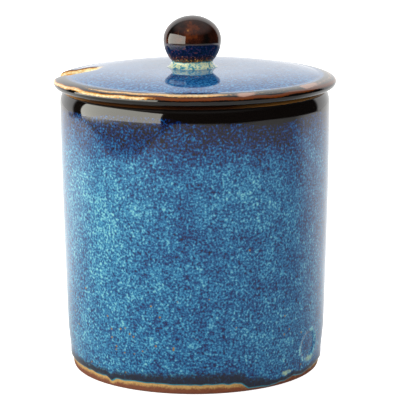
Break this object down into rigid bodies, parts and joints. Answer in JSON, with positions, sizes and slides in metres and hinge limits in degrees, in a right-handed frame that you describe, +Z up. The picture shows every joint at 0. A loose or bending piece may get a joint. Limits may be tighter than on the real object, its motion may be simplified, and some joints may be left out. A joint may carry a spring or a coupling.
{
  "type": "butter crock",
  "caption": "Lidded stoneware crock for keeping butter, with a tapered glazed pot and a lift-off lid with a ball knob and a knife notch in its rim.",
  "frame": {"origin": "centre of the foot, on the surface the crock stands on", "axes": "+Z up along the axis that the pot and lid were turned on, towards the knob; +X to the right and -Y towards the viewer, with the lid's notch near -X"},
  "size_m": [0.1048, 0.1048, 0.1316],
  "materials": {
    "pot_glaze": "glossy reactive blue glaze, black at the lip, bare clay foot",
    "lid_glaze": "glossy reactive blue glaze, honey brown where it breaks on the rim",
    "knob_glaze": "glossy dark iron glaze, cream where it pools at the foot of the neck"
  },
  "bodies": {
    "crock": {"crock": "pot_glaze"},
    "lid": {"lid": "lid_glaze", "knob": "knob_glaze"}
  },
  "joints": [
    {"name": "lid_lift", "type": "slide", "parent": "crock", "child": "lid", "axis": [0, 0, 1], "range_m": [0, 0.12]}
  ]
}
